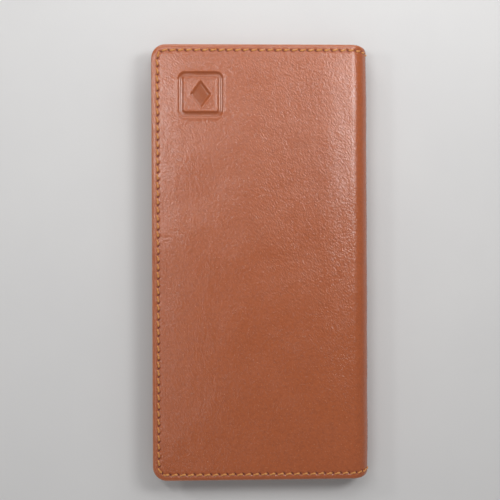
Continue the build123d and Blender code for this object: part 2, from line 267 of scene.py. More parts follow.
def stations():
    """Stations along the edge seam, and how many steps its head, a corner and half the open side have."""
    fine, corner_steps, close_to_middle = PITCH / 12, 24, 0.05
    head = np.linspace(0, HEAD_RUN, round(HEAD_RUN / fine))[1:]
    head = np.concatenate([[0, close_to_middle], head])
    corner = HEAD_RUN + np.linspace(0, CORNER_RUN, corner_steps + 1)[1:]
    side = HEAD_RUN + CORNER_RUN + np.linspace(0, SIDE_RUN, round(SIDE_RUN / fine))[1:]
    half = np.concatenate([head, corner, side])
    whole = np.concatenate([half, 2 * HALF_SEAM - half[-2::-1]])
    return whole, len(head) - 1, len(corner), len(side)


def face_relief(u, v, front):
    """Unevenness of the leather, and the pressed motif on the front, as depth."""
    h = hide_u(u, front)
    uneven = 0.085 * ripple(h, v, 34, seed=3) + 0.016 * ripple(h, v, 7, seed=4) + 0.12
    return uneven + (MOTIF_DEPTH * motif_press(u, v) if front else 0)


def crown(u, v):
    """How much lower the face is towards its edges, over the edge of the board."""
    at_open_side = 1.1 * np.exp((OPEN_X - u) / 12)
    at_ends = 0.3 * np.exp((np.abs(v) - HEAD_Y) / 6)
    at_spine = 0.5 * smooth((u - SPINE_X + 13) / 18)
    return at_open_side + at_ends + at_spine


def seam_rings(s, front):
    """Columns u, v, depth, inset, groove and hole of the rings that follow the edge, ring after ring."""
    columns = []
    for inset, depth, side in ring_profile():
        u, v = edge_point(s, inset)
        groove, hole = seam_relief(s, inset) if abs(side) == 1 else (0 * s, 0 * s)
        shape = groove * GROOVE_DEPTH + hole * HOLE_DEPTH
        lower = crown(u, v) * (1 - depth / RIM)
        wave = face_relief(u, v, front) * smooth(side)
        depths = depth + lower + wave + (shape if side > 0 else -0.7 * shape)
        columns.append([u, v, depths, np.full(len(s), inset), groove, hole])
    return np.concatenate(columns, 1)


def kept_lines(u_line, v_line, n_head, n_side, front):
    """Stations that go on as grid lines over the face: more at the spine, and all of them at the motif."""
    near = MOTIF_HALF + 1.2 if front else 0
    keep_u, keep_v = [], []
    for i, u in enumerate(u_line):
        every = 2 if u > SPINE_X - 2 else 4
        if i in (0, 1, n_head) or i % every == 1 or abs(u - MOTIF_CENTRE[0]) < near:
            keep_u.append(i)
    for j, v in enumerate(v_line):
        if j in (0, 2 * n_side) or j % 4 == 0 or abs(v - MOTIF_CENTRE[1]) < near:
            keep_v.append(j)
    return keep_u, keep_v


def joining_faces(keep_u, keep_v, counts, last, first):
    """Faces between the last ring and the grid, whose vertices start at last and at first."""
    count, n_head, n_corner, n_side = counts
    rows, columns = len(keep_u), len(keep_v)
    side_start, tail_start = n_head + n_corner, n_head + n_corner + 2 * n_side

    def on_ring(a, b):
        return [last + k for k in range(a, b + 1)]

    def on_grid(i, j):
        return first + i * columns + j

    faces = []
    for i in range(rows - 1):
        a, b = keep_u[i], keep_u[i + 1]
        faces.append(on_ring(a, b) + [on_grid(i + 1, 0), on_grid(i, 0)])
        a, b = count - 1 - b, count - 1 - a
        faces.append(on_ring(a, b) + [on_grid(i, columns - 1), on_grid(i + 1, columns - 1)])
    for j in range(columns - 1):
        a, b = side_start + keep_v[j], side_start + keep_v[j + 1]
        faces.append(on_ring(a, b) + [on_grid(rows - 1, j + 1), on_grid(rows - 1, j)])
    for k in range(n_corner):
        faces.append(on_ring(n_head + k, n_head + k + 1) + [on_grid(rows - 1, 0)])
        faces.append(on_ring(tail_start + k, tail_start + k + 1) + [on_grid(rows - 1, columns - 1)])
    return faces


def leather_shell(name, front):
    """Outer leather of a half with its turned edges and half of the spine."""
    s, n_head, n_corner, n_side = stations()
    rings = seam_rings(s, front)
    first = rings.shape[1]
    last = first - len(s)
    u_line, v_line = edge_point(s[: n_head + 1], SEAM_INSET)[0], edge_point(s, SEAM_INSET)[1]
    v_line = v_line[n_head + n_corner : n_head + n_corner + 2 * n_side + 1]
    keep_u, keep_v = kept_lines(u_line, v_line, n_head, n_side, front)
    u, v = (grid.ravel() for grid in np.meshgrid(u_line[keep_u], v_line[keep_v], indexing="ij"))
    inset = np.minimum(HEAD_Y - np.abs(v), u - OPEN_X)
    face = [u, v, face_relief(u, v, front) + crown(u, v), inset, 0 * u, 0 * u]
    u, v, depth, inset, groove, hole = np.concatenate([rings, face], 1)

    faces = grid_faces(first // len(s), len(s))
    faces += [f[::-1] for f in grid_faces(len(keep_u), len(keep_v), first)]
    faces += joining_faces(keep_u, keep_v, (len(s), n_head, n_corner, n_side), last, first)
    if not front:
        faces = [f[::-1] for f in faces]
    press = motif_press(u, v) * (inset > CORNER_R) if front else 0 * u
    # Colour masks: groove and hole carry painted shade in the seam groove and needle holes; rim gives a
    # pale edge, partly a painted highlight and partly rubbed wear.
    masks = {"groove": groove, "hole": hole, "press": press, "rim": smooth(1 - inset / 0.9)}
    return new_object(name, wrap(u, v, depth, front), faces, np.stack([hide_u(u, front), v], -1), masks)


def strand(u, v, depth):
    """Twisted two-ply thread along a line on the unrolled leather, as a grid of points with their uv."""
    sides, twist_length = 10, 1.9
    du, dv = np.gradient(u), np.gradient(v)
    size = np.hypot(du, dv)
    along = np.concatenate([[0], np.cumsum(np.hypot(np.diff(u), np.diff(v)))])[:, None]
    theta = np.linspace(0, 2 * pi, sides, endpoint=False)[None]
    radius = THREAD_R * (0.8 + 0.2 * np.cos(2 * theta - along * 2 * pi / twist_length))
    side = radius * np.cos(theta)
    points_u = u[:, None] - (dv / size)[:, None] * side
    points_v = v[:, None] + (du / size)[:, None] * side
    points_depth = depth[:, None] + radius * np.sin(theta)
    return (points_u, points_v, points_depth), np.broadcast_arrays(along, theta / (2 * pi))


def sew(name, runs, front):
    """One mesh of all the stitches of a seam; each run gives a stitch's u, v and depth along its length."""
    points, uv, faces, first = [], [], [], 0
    for u, v, depth in runs:
        (pu, pv, pd), (along, round_it) = strand(u, v, depth)
        rows, sides = pu.shape
        faces += grid_faces(rows, sides, first, close=True)
        faces.append(list(range(first + sides - 1, first - 1, -1)))
        faces.append(list(range(first + (rows - 1) * sides, first + rows * sides)))
        points.append(wrap(pu, pv, pd, front).reshape(-1, 3))
        uv.append(np.stack([along, round_it], -1).reshape(-1, 2))
        first += rows * sides
    return new_object(name, np.concatenate(points), faces, np.concatenate(uv))


# A stitch runs from -1 to 1 between its holes

RUN = np.linspace(-1, 1, 11)
STITCH_HALF = PITCH * 0.38
STITCH_PLAY = 0.06
DIVE = 0.62
NEEDLE_RISE = -0.16
BOBBIN_RISE = 0.1


def stitch_depth(surface, rise, inwards=1):
    """Depths along a stitch between its holes; inwards is 1 on an inner side, -1 on the outer face."""
    return surface + inwards * (rise - DIVE * RUN**4)


def edge_stitches(name, front):
    """The edge seam of a half: the needle thread on the face and the bobbin thread inside."""
    runs = []
    rng = np.random.default_rng(5 if front else 6)
    for i in range(2 * STITCHES):
        for inwards in (-1, 1):
            shift, skew, lift = rng.uniform(-STITCH_PLAY, STITCH_PLAY, 3)
            s = (i + 0.5) * PITCH + shift + RUN * STITCH_HALF
            inset = SEAM_INSET + skew + tan(STITCH_SLANT) * RUN * STITCH_HALF
            u, v = np.transpose([edge_point(a, b) for a, b in zip(s, inset)])
            surface = crown(u, v) if inwards < 0 else inner_depth(u, v, front)
            rise = lift + (NEEDLE_RISE if inwards < 0 else BOBBIN_RISE)
            runs.append((u, v, stitch_depth(surface, rise, inwards)))
    return sew(name, runs, front)


# Inside: leather panels, card rows and the coin pocket. A depth is measured from the outer face inwards.

panel_low, panel_high = box_mm("back_bill_panel")
pocket_low, pocket_high = box_mm("coin_pocket_front")
PANEL_TOP = panel_high[2]
BILL_MOUTH_X = panel_high[0]
PANEL_LEFT, PANEL_HALF = panel_low[0], panel_high[1]
PANEL_CORNER_R = CORNER_R - (PANEL_LEFT - OPEN_X)
PANEL_THICK = PANEL_TOP - panel_low[2]
BOARD_INSET = 4.2
BOARD_THICK = 0.4
ROWS = 4
ROW_LEATHER = 0.6
ROW_LIP = 2.5
ROW_SLOPE = 9
MOUTH_CREASE_IN = 1.7
SEAM_SINK = 0.1
SEWN_FLAT = 5.2
POCKET_RIGHT = pocket_high[0]
POCKET_TOP = pocket_high[2]
POCKET_LEATHER = 0.65
BRIM_TOP = pocket_low[2] + POCKET_LEATHER
BRIM = 2.6
SLOPE = 3.2
ZIP_X = np.mean(box_mm("zip_pull"), 0)[0]
CHAIN_DEPTH = np.mean(box_mm("zip_tape_open_side"), 0)[2]
TAPE_END = box_mm("zip_tape_open_side")[1][1]
TAPE_WIDTH = 11
TRIMMED_WIDTH = 10.4
SLOT_HALF = 4.5
SLOT_END = TAPE_END - 4
SLOT_CREASE_IN = 1.4
SLOT_CREASE = 0.14


def round_corners(x, y, radius):
    """The grid of a panel with its two corners on the open side made round."""
    p = np.clip((PANEL_LEFT + radius - x) / radius, 0, 1)
    q = np.clip((np.abs(y) - PANEL_HALF + radius) / radius, 0, 1)
    pull = np.where((p > 0) & (q > 0), np.maximum(p, q) / np.maximum(np.hypot(p, q), 1e-9), 1)
    x = np.where(p > 0, PANEL_LEFT + radius * (1 - p * pull), x)
    return x, np.where(q > 0, np.sign(y) * (PANEL_HALF - radius * (1 - q * pull)), y)


def edge_distance(x, y, right):
    """Distance in from the outline of a panel that ends at right."""
    radius = PANEL_CORNER_R
    p, q = PANEL_LEFT + radius - x, np.abs(y) - (PANEL_HALF - radius)
    corner = radius - np.hypot(np.maximum(p, 0), np.maximum(q, 0)) - np.minimum(np.maximum(p, q), 0)
    return np.minimum(corner, right - x)


def seam_dent(inset):
    """How far the edge seam draws the inner leather down."""
    return 0.16 * bell(inset - SEAM_INSET + PANEL_LEFT - OPEN_X, 0.7)


def row_profile(row):
    """(x, depth) along the inner side of a card row from its foot to its mouth, after its CAD node."""
    low, high = box_mm(f"card_row_{row}")
    mouth, foot = high[0], low[0]
    at_mouth, at_rest = TOP_Z - low[2], TOP_Z - high[2] + ROW_LEATHER
    lip = [(mouth - ROW_LIP, at_mouth), (mouth, at_mouth)]
    if row < ROWS:
        return [(foot, at_rest), (mouth - ROW_SLOPE, at_rest)] + lip
    on_linings = at_rest + 0.75  # the last row also lies on the lower parts of the linings
    linings_end = box_mm(f"card_pocket_lining_{ROWS - 1}")[0][0]
    over_linings = [(linings_end, on_linings), (mouth - ROW_SLOPE - 1, on_linings)]
    return [(foot, at_rest), (linings_end - 4, at_rest)] + over_linings + lip


def row_depth(row, x, y):
    """Depth of a card row's inner side: flat in the seams at its ends, open a little between them."""
    xs, depths = np.transpose(row_profile(row))
    air, soft_bend = 0.05, 1.2
    on_panel = PANEL_TOP + ROW_LEATHER + air
    on_row = on_panel + (ROW_LEATHER if row > 1 else 0)
    ends = np.interp(xs, [xs[-1] - ROW_SLOPE, xs[-1] - ROW_LIP], [on_panel, on_row])
    shifts = np.linspace(-soft_bend, soft_bend, 7)
    bent, flat = (np.mean([np.interp(x + s, xs, d) for s in shifts], axis=0) for d in (depths, ends))
    bent += (flat - bent) * smooth((np.abs(y) - PANEL_HALF + SEWN_FLAT) / 3)
    below = xs[-1] - x
    crease = 0.13 * bell(below - MOUTH_CREASE_IN, 0.3)
    gape = 0.3 * np.sin(pi * np.abs(y) / PANEL_HALF) ** 2 * np.exp(-below / 5)
    seam = 0.12 * bell(y, 0.8)
    return bent - crease - seam + gape + 0.03 * ripple(x, y, 26, seed=20 + row)


def inner_depth(u, v, front):
    """Depth under the bobbin thread: of a card row, the coin pocket's brim, a bill panel or the hem."""
    if front:
        depth = np.where(u < BILL_MOUTH_X, PANEL_TOP, RIM)
        for row in range(1, ROWS + 1):
            depth = np.where(u < box_mm(f"card_row_{row}")[1][0], row_depth(row, u, v), depth)
    else:
        depth = np.where(u < POCKET_RIGHT, BRIM_TOP, RIM)
    return depth - SEAM_SINK


def mouth_shades(below):
    """Vertex masks beside an opening: pale on its edge, partly a painted highlight and partly rubbed wear,
    and painted shade in the crease that runs beside it.
    """
    return {"groove": 1.6 * bell(below - MOUTH_CREASE_IN, 0.4), "rim": 0.8 * smooth(1 - below / 0.9)}


def inner_panel(name, x, y, depth, thickness, front, hole=None, masks=None):
    """Leather or board of a half: a grid at the depths of its inner side, thickened towards the cover."""
    faces = np.array(grid_faces(*x.shape))
    if hole is not None:
        faces = faces[~hole[:-1, :-1].ravel()]
    if not front:
        faces = faces[:, ::-1]
    obj = new_object(name, wrap(x, y, depth, front), faces.tolist(), np.stack([x, y], -1), masks)
    solid = obj.modifiers.new("thickness", "SOLIDIFY")
    solid.thickness = thickness * MM
    soft = obj.modifiers.new("soft_edge", "BEVEL")
    soft.width, soft.segments, soft.angle_limit = 0.3 * thickness * MM, 3, radians(50)
    return obj


def bill_panel(name, front):
    """Leather of the bill compartment, with a crease along its mouth."""
    fine, coarse = 0.5, 3
    corner = PANEL_CORNER_R
    xs = lines((PANEL_LEFT, fine), (PANEL_LEFT + corner, coarse), (BILL_MOUTH_X - 6, 0.3), end=BILL_MOUTH_X)
    ys = mirrored_lines((PANEL_HALF, fine), (PANEL_HALF - corner, coarse))
    x, y = round_corners(*np.meshgrid(xs, ys, indexing="ij"), corner)
    below = BILL_MOUTH_X - x
    depth = PANEL_TOP - 0.14 * bell(below - MOUTH_CREASE_IN, 0.3)
    return inner_panel(name, x, y, depth, PANEL_THICK, front, masks=mouth_shades(below))


def stiffener(name, node, front):
    """Board of a half, cut back so that it ends inside the edge seam."""
    low, high = box_mm(node)
    depth = TOP_Z - low[2] if front else high[2]
    left, half, border = OPEN_X + BOARD_INSET, HEAD_Y - BOARD_INSET, 5
    xs = lines((left, 0.6), (left + border, 3), end=high[0])
    ys = mirrored_lines((half, 0.6), (half - border, 4))
    x, y = np.meshgrid(xs, ys, indexing="ij")
    return inner_panel(name, x, y, depth + 0 * x, BOARD_THICK, front)


def card_row(row):
    """Leather of one card row, cut to the shape of its CAD node."""
    low, high = box_mm(f"card_row_{row}")
    corner = PANEL_CORNER_R
    marks = [(low[0], 0.5), (low[0] + corner, 1.5)] if row == ROWS else [(low[0], 0.4), (low[0] + 4, 0.8)]
    xs = lines(*marks, (high[0] - 4, 0.25), end=high[0])
    ys = mirrored_lines((PANEL_HALF, 0.5), (PANEL_HALF - corner, 2), (2, 0.4))
    x, y = np.meshgrid(xs, ys, indexing="ij")
    if row == ROWS:
        x, y = round_corners(x, y, corner)
    far_right = 1000  # the mouth isn't sewn
    depth = row_depth(row, x, y) - seam_dent(edge_distance(x, y, far_right))
    masks = mouth_shades(high[0] - x)
    # Painted shade along the dip of the centre seam.
    masks["groove"] += 1.2 * bell(y, 0.6)
    # Painted shadow where this row comes out from under the next row.
    if row < ROWS:
        out_of_next = x - box_mm(f"card_row_{row + 1}")[1][0]
        masks["groove"] += 2.6 * np.exp(-np.maximum(out_of_next, 0) / 0.6)
    return inner_panel(f"card_leather_{row}", x, y, depth, ROW_LEATHER, True, masks=masks)


def centre_seam():
    """Seam down the middle of the card rows, where it shows between one mouth and the next."""
    runs = []
    mouths = [box_mm(f"card_row_{row}")[1][0] for row in range(1, ROWS + 1)]
    clear = STITCH_HALF + 0.3
    for i in range(int((mouths[0] - OPEN_X - SEAM_INSET) / PITCH)):
        middle = mouths[0] - PITCH * (i + 0.5)
        if min(abs(middle - mouth) for mouth in mouths) < clear:
            continue
        row = max(k + 1 for k, mouth in enumerate(mouths) if mouth > middle)
        u = middle + RUN * STITCH_HALF
        v = 0.12 * RUN
        runs.append((u, v, stitch_depth(row_depth(row, u, v), BOBBIN_RISE)))
    return sew("centre_seam", runs, True)


def coin_pocket():
    """Leather front of the coin pocket: sewn brim, soft slope and raised middle with the zip's slot."""
    right, half, end = POCKET_RIGHT, PANEL_HALF, SLOT_END - SLOT_HALF
    slot_left, slot_right = ZIP_X - SLOT_HALF, ZIP_X + SLOT_HALF
    border, fine = 6.5, 0.45
    left_marks = [(PANEL_LEFT, fine), (PANEL_LEFT + border, 2)]
    xs = lines(*left_marks, (slot_left - 4.5, 0.5), (slot_left, 0.75), (slot_right, fine), end=right)
    ys = mirrored_lines((half, fine), (half - border, 1.6), (end + 9, 0.5), (end, 1.8))
    x, y = np.meshgrid(xs, ys, indexing="ij")
    middle_x, middle_y = (x[1:, 1:] + x[:-1, :-1]) / 2, (y[1:, 1:] + y[:-1, :-1]) / 2
    hole = np.zeros(x.shape, bool)
    hole[:-1, :-1] = (np.abs(middle_x - ZIP_X) < SLOT_HALF) & (np.abs(middle_y) < SLOT_END)
    x, y = round_corners(x, y, PANEL_CORNER_R)
    p, q = (x - ZIP_X) / SLOT_HALF, (np.abs(y) - end) / SLOT_HALF
    square = np.maximum(np.abs(p), np.abs(q))
    circle = square / np.maximum(np.hypot(p, q), 1e-9)
    pull = np.where(q > 0, 1 + (circle - 1) * (1 - smooth(square - 1)), 1)
    x, y = ZIP_X + SLOT_HALF * p * pull, np.where(q > 0, np.sign(y) * (end + SLOT_HALF * q * pull), y)
    inset = edge_distance(x, y, right)
    depth = BRIM_TOP + (POCKET_TOP - BRIM_TOP) * smooth((inset - BRIM) / SLOPE) - seam_dent(inset)
    beside_slot = np.hypot(np.maximum(np.abs(y) - end, 0), x - ZIP_X) - SLOT_HALF
    depth -= SLOT_CREASE * bell(beside_slot - SLOT_CREASE_IN, 0.6) * (inset > BRIM)
    depth += 0.1 * ripple(x, y, 40, seed=31) * smooth((inset - BRIM - 1) / 8) * smooth(beside_slot / 3)
    masks = mouth_shades(beside_slot)
    return inner_panel("coin_pocket_leather", x, y, depth, POCKET_LEATHER, False, hole, masks)


def zip_seam():
    """The two rows of stitches beside the zip."""
    runs = []
    count = int(2 * (SLOT_END - 4) / PITCH)
    off_middle = SLOT_HALF + SLOT_CREASE_IN
    for x in (ZIP_X - off_middle, ZIP_X + off_middle):
        for i in range(count):
            v = PITCH * (i - (count - 1) / 2) + RUN * STITCH_HALF
            runs.append((x + 0.15 * RUN, v, stitch_depth(POCKET_TOP - SLOT_CREASE, BOBBIN_RISE)))
    return sew("zip_seam", runs, False)


# Cloth: linings, the coin bag and the zip tapes


def cloth(name, section, half_length, front, seed, step=1.0, thickness=0.15):
    """A strip of cloth with the same (u, depth) section all along, and the size it was cut to."""
    u, depth = np.transpose(section)
    flat_u = np.concatenate([[0], np.cumsum(np.hypot(np.diff(u), np.diff(depth)))])
    along_step = 2
    at = lines((0, step), end=flat_u[-1])
    ys = mirrored_lines((half_length, along_step))
    gu = np.repeat(np.interp(at, flat_u, u)[:, None], len(ys), 1)
    gd = np.repeat(np.interp(at, flat_u, depth)[:, None], len(ys), 1)
    ga, gv = np.meshgrid(at, ys, indexing="ij")
    gd = gd + 0.04 * ripple(ga, gv, 15, seed)
    faces = grid_faces(*gu.shape)
    faces = faces if front else [f[::-1] for f in faces]
    obj = new_object(name, wrap(gu, gv, gd, front), faces, np.stack([ga, gv], -1))
    solid = obj.modifiers.new("thickness", "SOLIDIFY")
    solid.thickness = thickness * MM
    over_spine = max(u) - SPINE_X
    shorter = over_spine * np.mean(depth) / SPINE_R if over_spine > 0 else 0
    return obj, ((flat_u[-1] - shorter) * MM, 2 * half_length * MM)


def cover_lining(name, front):
    """Lining of a half, held under the turned edge, and on round the inside of the spine to its middle."""
    depth = RIM - 0.75
    section = [(OPEN_X + 1.6, depth), (SPINE_X, depth), (MID_U, depth)]
    return cloth(name, section, HEAD_Y - 1.9, front, seed=41 if front else 42, step=0.8)


def card_lining(row):
    """Fabric behind a card row, from just inside its mouth down to where a card would stop."""
    low, high = box_mm(f"card_pocket_lining_{row}")
    thickness = 0.12
    rest = TOP_Z - high[2] + thickness
    mouth = high[0]
    at_mouth = row_profile(row)[-1][1]
    under = at_mouth - ROW_LEATHER - thickness
    section = [(low[0], rest), (mouth - ROW_SLOPE + 2, rest), (mouth - ROW_LIP, under), (mouth, under)]
    half_length = PANEL_HALF - SEWN_FLAT
    return cloth(f"card_lining_{row}", section, half_length, True, seed=50 + row, thickness=thickness)


def coin_bag():
    """The coin pocket's fabric bag: from one zip tape round under the leather to the other tape."""
    roof, floor_depth = POCKET_TOP - POCKET_LEATHER - 0.25, PANEL_TOP + 0.2
    left = PANEL_LEFT + BRIM + SLOPE
    right = POCKET_RIGHT - BRIM - SLOPE
    section = [(ZIP_X - TAPE_WIDTH, CHAIN_DEPTH - 0.35), (ZIP_X - TAPE_WIDTH - 3, roof)]
    section += [(left + 1, roof), (left - 1.4, floor_depth)]
    section += [(right + 2, floor_depth), (right + 1.4, CHAIN_DEPTH - 1.1), (right - 1, CHAIN_DEPTH - 0.45)]
    return cloth("coin_bag", section, PANEL_HALF - BRIM - SLOPE, False, seed=60, step=1.5)


def zip_tape(name, side):
    """Woven tape of the zip with the corded edge that holds the teeth; side is -1 towards the open side."""
    inner, cord_half, cord_height = 1.6, 0.45, 0.32
    width = TAPE_WIDTH if side < 0 else TRIMMED_WIDTH
    at = lines((0, 0.12), (1.2, 0.9), end=width)
    ys = mirrored_lines((TAPE_END, 0.8))
    ga, gv = np.meshgrid(at, ys, indexing="ij")
    bulge = cord_height * np.sqrt(np.clip(1 - ((ga - cord_half) / cord_half) ** 2, 0, 1))
    drop = smooth((ga - 4.6) / 3.6) * (CHAIN_DEPTH - PANEL_TOP - 0.15 if side > 0 else 0)
    depth = CHAIN_DEPTH + bulge + 0.05 * ripple(ga, gv, 9, seed=70 + side) * smooth(ga) - drop
    faces = grid_faces(*ga.shape)
    faces = faces if side < 0 else [f[::-1] for f in faces]
    x = ZIP_X + side * (inner + ga)
    obj = new_object(name, wrap(x, gv, depth, False), faces, np.stack([ga, gv], -1))
    solid = obj.modifiers.new("thickness", "SOLIDIFY")
    solid.thickness = 0.25 * MM
    return obj, (width * MM, 2 * TAPE_END * MM)


# Zip teeth


def zip_teeth(name, node, side):
    """A row of moulded teeth: legs clamped on the tape cord, and a rounded head towards the other row."""
    low, high = box_mm(node)
    pitch, thick, foot_half = 2.0, (high[2] - low[2]) / 2, 0.55
    count = round((high[1] - low[1] - 2 * foot_half) / pitch) + 1
    outer, inner = abs((low if side < 0 else high)[0] - ZIP_X), 0.36
    reach = outer - inner
    # (share of the reach, half width, half height as a share of thick), from the tape to the head's tip
    sections = [(0.0, 0.34, 0.62), (0.1, 0.5, 0.86), (0.5, foot_half, 1.0), (0.66, 0.36, 0.92)]
    sections += [(0.8, 0.44, 0.9), (0.94, 0.42, 0.72), (1.0, 0.26, 0.4)]
    sides, power = 12, 5
    theta = np.linspace(0, 2 * pi, sides, endpoint=False)
    square = 1 / (np.abs(np.cos(theta)) ** power + np.abs(np.sin(theta)) ** power) ** (1 / power)
    points, faces = [], []
    for i in range(count):
        y = low[1] + foot_half + pitch * i
        first = sides * len(points)
        for share, half_width, half_height in sections:
            ring_x = np.full(sides, ZIP_X + side * (outer - share * reach))
            ring_y = y + half_width * np.cos(theta) * square
            ring_z = CHAIN_DEPTH + thick * half_height * np.sin(theta) * square
            points.append(np.stack([ring_x, ring_y, ring_z], -1))
        tip = first + sides * (len(sections) - 1)
        tooth = grid_faces(len(sections), sides, first, close=True)
        tooth += [list(range(first + sides - 1, first - 1, -1)), list(range(tip, tip + sides))]
        faces += [f[::-1] for f in tooth] if side < 0 else tooth
    return new_object(name, np.concatenate(points), faces)


# Materials


def srgb(*rgb):
    """Linear colour from sRGB parts of 255."""
    parts = [c / 255 for c in rgb]
    return tuple(c / 12.92 if c <= 0.04045 else ((c + 0.055) / 1.055) ** 2.4 for c in parts) + (1,)


class Shader:
    """A material with a Principled shader and short ways to add nodes to it."""

    def __init__(self, name, **inputs):
        self.material = bpy.data.materials.new(name)
        self.material.use_nodes = True
        self.tree = self.material.node_tree
        self.bsdf = self.tree.nodes["Principled BSDF"]
        for key, value in inputs.items():
            self.bsdf.inputs[key.replace("_", " ")].default_value = value

    def link(self, source, target):
        self.tree.links.new(source, target)

    def node(self, kind, **settings):
        """A new node of the kind, with its settings."""
        made = self.tree.nodes.new("ShaderNode" + kind)
        for key, value in settings.items():
            setattr(made, key, value)
        return made

    def fill(self, target, value):
        """Link an output to the input, or set the input to a constant."""
        if isinstance(value, bpy.types.NodeSocket):
            self.link(value, target)
        else:
            target.default_value = value

    def coords(self, own_uv, stretch=(1, 1, 1), turn=0):
        """Coordinates in mm, turned and stretched: the mesh's own unrolled ones, or the object's."""
        if own_uv:
            source, unit = self.node("UVMap", uv_map="grain").outputs["UV"], 1
        else:
            source, unit = self.node("TexCoord").outputs["Object"], MM
        mapping = self.node("Mapping", vector_type="TEXTURE")
        mapping.inputs["Scale"].default_value = tuple(unit * k for k in stretch)
        mapping.inputs["Rotation"].default_value = (0, 0, turn)
        self.link(source, mapping.inputs["Vector"])
        return mapping.outputs["Vector"]

    def noise(self, vector, size, detail, rough=0.55, warp=0.0):
        """Cloudy noise of about the given size."""
        made = self.node("TexNoise")
        made.inputs["Scale"].default_value = 1 / size
        for key, value in (("Detail", detail), ("Roughness", rough), ("Distortion", warp)):
            made.inputs[key].default_value = value
        self.link(vector, made.inputs["Vector"])
        return made.outputs["Fac"]

    def cells(self, vector, size):
        """Distance to the middle of soft cells of about the given size."""
        made = self.node("TexVoronoi", feature="SMOOTH_F1")
        made.inputs["Scale"].default_value = 1 / size
        self.link(vector, made.inputs["Vector"])
        return made.outputs["Distance"]

    def wave(self, vector, size, direction, warp):
        """Parallel bands, one every size mm."""
        made = self.node("TexWave", bands_direction=direction)
        made.inputs["Scale"].default_value = pi / (10 * size)
        made.inputs["Distortion"].default_value = warp
        self.link(vector, made.inputs["Vector"])
        return made.outputs["Fac"]

    def math(self, operation, a, b=0.0, clamp=False):
        """The operation on two values."""
        made = self.node("Math", operation=operation, use_clamp=clamp)
        self.fill(made.inputs[0], a)
        self.fill(made.inputs[1], b)
        return made.outputs[0]

    def span(self, value, low, high, to_low=0.0, to_high=1.0):
        """value from low..high mapped to to_low..to_high, smoothly and clamped."""
        made = self.node("MapRange", interpolation_type="SMOOTHSTEP")
        for key, number in (("From Min", low), ("From Max", high), ("To Min", to_low), ("To Max", to_high)):
            made.inputs[key].default_value = number
        self.link(value, made.inputs["Value"])
        return made.outputs["Result"]

    def mask(self, name):
        """One of the vertex masks that the mesh was made with."""
        return self.node("Attribute", attribute_name=name).outputs["Fac"]

    def mix(self, share, a, b):
        """Colour a, with the share of colour b."""
        made = self.node("Mix", data_type="RGBA")
        self.fill(made.inputs["Factor"], share)
        self.fill(made.inputs[6], a)
        self.fill(made.inputs[7], b)
        return made.outputs[2]

    def bump(self, height, depth_mm, normal=None):
        """Normals of a surface raised by height times depth_mm, on top of the given normals."""
        made = self.node("Bump")
        made.inputs["Distance"].default_value = depth_mm * MM
        self.link(height, made.inputs["Height"])
        if normal is not None:
            self.link(normal, made.inputs["Normal"])
        return made.outputs["Normal"]

    def finish(self, color, roughness, normal):
        """The finished material."""
        for key, value in (("Base Color", color), ("Roughness", roughness), ("Normal", normal)):
            self.link(value, self.bsdf.inputs[key])
        return self.material


